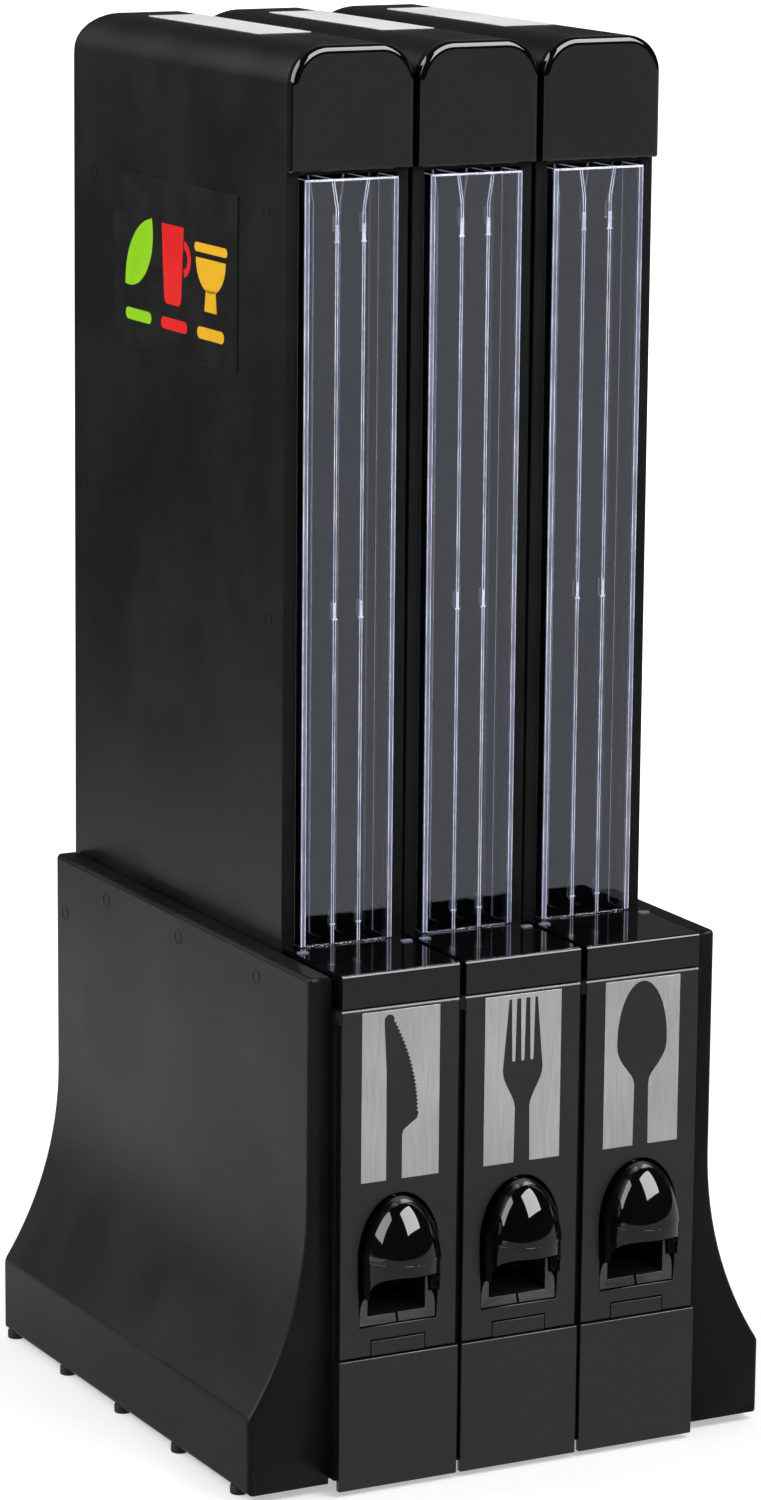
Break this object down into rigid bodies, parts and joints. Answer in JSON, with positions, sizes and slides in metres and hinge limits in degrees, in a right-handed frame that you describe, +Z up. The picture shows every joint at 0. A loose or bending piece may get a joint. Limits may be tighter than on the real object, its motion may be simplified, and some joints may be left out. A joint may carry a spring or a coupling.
{
  "type": "cutlery dispenser",
  "caption": "Free-standing countertop cutlery dispenser with tall clear-fronted magazines side by side on a flared base, each with a domed push lever over its outlet.",
  "frame": {"origin": "on the floor under the middle of the bounding box", "axes": "+X to the right seen from the front, +Y to the back, +Z up"},
  "size_m": [0.2536, 0.2845, 0.6119],
  "materials": {
    "tower_shell": "matte black moulded plastic, fine texture",
    "cheek_matte": "matte black moulded plastic, fine texture",
    "housing_black": "matte black moulded plastic",
    "gloss_black": "high gloss black plastic",
    "door_satin": "satin black plastic",
    "clear_window": "clear moulded plastic, faintly blue",
    "label_silver": "brushed silver foil",
    "slide_grey": "grey acetal plastic",
    "spring_steel": "plain steel",
    "pale_strip": "smooth pale strip",
    "foot_rubber": "black rubber",
    "patch_black": "printed film, black ground"
  },
  "bodies": {
    "root": {"tower_left_shell_knife": "tower_shell", "tower_right_shell_knife": "tower_shell", "sight_window_knife": "clear_window", "module_housing_knife": "housing_black", "top_cover_knife": "gloss_black", "return_spring_knife": "spring_steel", "outlet_chute_knife": "gloss_black", "lower_skirt_knife": "door_satin", "top_strip_knife": "pale_strip", "tower_left_shell_fork": "tower_shell", "tower_right_shell_fork": "tower_shell", "sight_window_fork": "clear_window", "module_housing_fork": "housing_black", "top_cover_fork": "gloss_black", "return_spring_fork": "spring_steel", "outlet_chute_fork": "gloss_black", "lower_skirt_fork": "door_satin", "top_strip_fork": "pale_strip", "tower_left_shell_spoon": "tower_shell", "tower_right_shell_spoon": "tower_shell", "sight_window_spoon": "clear_window", "module_housing_spoon": "housing_black", "top_cover_spoon": "gloss_black", "return_spring_spoon": "spring_steel", "outlet_chute_spoon": "gloss_black", "lower_skirt_spoon": "door_satin", "top_strip_spoon": "pale_strip", "left_cheek": "cheek_matte", "right_cheek": "cheek_matte", "base_plate": "housing_black", "rubber_feet": "foot_rubber", "door_pins": "spring_steel", "lever_pins": "spring_steel", "cheek_screws": "spring_steel", "module_bolts": "spring_steel", "base_screws": "spring_steel", "side_patch": "patch_black"},
    "cap_knife": {"refill_cap_knife": "gloss_black"},
    "door_knife": {"front_door_knife": "door_satin", "door_label_knife": "label_silver"},
    "latch_knife": {"door_latch_knife": "door_satin"},
    "lever_knife": {"push_lever_knife": "gloss_black"},
    "slide_knife": {"ejector_slide_knife": "slide_grey"},
    "cap_fork": {"refill_cap_fork": "gloss_black"},
    "door_fork": {"front_door_fork": "door_satin", "door_label_fork": "label_silver"},
    "latch_fork": {"door_latch_fork": "door_satin"},
    "lever_fork": {"push_lever_fork": "gloss_black"},
    "slide_fork": {"ejector_slide_fork": "slide_grey"},
    "cap_spoon": {"refill_cap_spoon": "gloss_black"},
    "door_spoon": {"front_door_spoon": "door_satin", "door_label_spoon": "label_silver"},
    "latch_spoon": {"door_latch_spoon": "door_satin"},
    "lever_spoon": {"push_lever_spoon": "gloss_black"},
    "slide_spoon": {"ejector_slide_spoon": "slide_grey"}
  },
  "joints": [
    {"name": "lever_press_knife", "type": "hinge", "parent": "root", "child": "lever_knife", "pos_m": [-0.059, -0.113, 0.134], "axis": [1, 0, 0], "range_deg": [0, 12], "stiffness_Nm_per_rad": 1, "springref_deg": -5.73},
    {"name": "ejector_travel_knife", "type": "slide", "parent": "root", "child": "slide_knife", "axis": [0, 1, 0], "range_m": [0, 0.0098], "deforming": ["return_spring_knife"]},
    {"name": "door_swing_knife", "type": "hinge", "parent": "root", "child": "door_knife", "pos_m": [-0.059, -0.1209, 0.2132], "axis": [-1, 0, 0], "range_deg": [0, 85]},
    {"name": "latch_press_knife", "type": "hinge", "parent": "door_knife", "child": "latch_knife", "pos_m": [-0.059, -0.118, 0.0695], "axis": [1, 0, 0], "range_deg": [0, 6], "stiffness_Nm_per_rad": 0.05, "springref_deg": -5.73},
    {"name": "cap_pull_knife", "type": "slide", "parent": "root", "child": "cap_knife", "axis": [0, -1, 0], "range_m": [0, 0.03]},
    {"name": "lever_press_fork", "type": "hinge", "parent": "root", "child": "lever_fork", "pos_m": [0, -0.113, 0.134], "axis": [1, 0, 0], "range_deg": [0, 12], "stiffness_Nm_per_rad": 1, "springref_deg": -5.73},
    {"name": "ejector_travel_fork", "type": "slide", "parent": "root", "child": "slide_fork", "axis": [0, 1, 0], "range_m": [0, 0.0098], "deforming": ["return_spring_fork"]},
    {"name": "door_swing_fork", "type": "hinge", "parent": "root", "child": "door_fork", "pos_m": [0, -0.1209, 0.2132], "axis": [-1, 0, 0], "range_deg": [0, 85]},
    {"name": "latch_press_fork", "type": "hinge", "parent": "door_fork", "child": "latch_fork", "pos_m": [0, -0.118, 0.0695], "axis": [1, 0, 0], "range_deg": [0, 6], "stiffness_Nm_per_rad": 0.05, "springref_deg": -5.73},
    {"name": "cap_pull_fork", "type": "slide", "parent": "root", "child": "cap_fork", "axis": [0, -1, 0], "range_m": [0, 0.03]},
    {"name": "lever_press_spoon", "type": "hinge", "parent": "root", "child": "lever_spoon", "pos_m": [0.059, -0.113, 0.134], "axis": [1, 0, 0], "range_deg": [0, 12], "stiffness_Nm_per_rad": 1, "springref_deg": -5.73},
    {"name": "ejector_travel_spoon", "type": "slide", "parent": "root", "child": "slide_spoon", "axis": [0, 1, 0], "range_m": [0, 0.0098], "deforming": ["return_spring_spoon"]},
    {"name": "door_swing_spoon", "type": "hinge", "parent": "root", "child": "door_spoon", "pos_m": [0.059, -0.1209, 0.2132], "axis": [-1, 0, 0], "range_deg": [0, 85]},
    {"name": "latch_press_spoon", "type": "hinge", "parent": "door_spoon", "child": "latch_spoon", "pos_m": [0.059, -0.118, 0.0695], "axis": [1, 0, 0], "range_deg": [0, 6], "stiffness_Nm_per_rad": 0.05, "springref_deg": -5.73},
    {"name": "cap_pull_spoon", "type": "slide", "parent": "root", "child": "cap_spoon", "axis": [0, -1, 0], "range_m": [0, 0.03]}
  ],
  "couplings": [
    {"joint": "ejector_travel_knife", "follows": "lever_press_knife", "m_per_rad": 0.046},
    {"joint": "ejector_travel_fork", "follows": "lever_press_fork", "m_per_rad": 0.046},
    {"joint": "ejector_travel_spoon", "follows": "lever_press_spoon", "m_per_rad": 0.046}
  ]
}
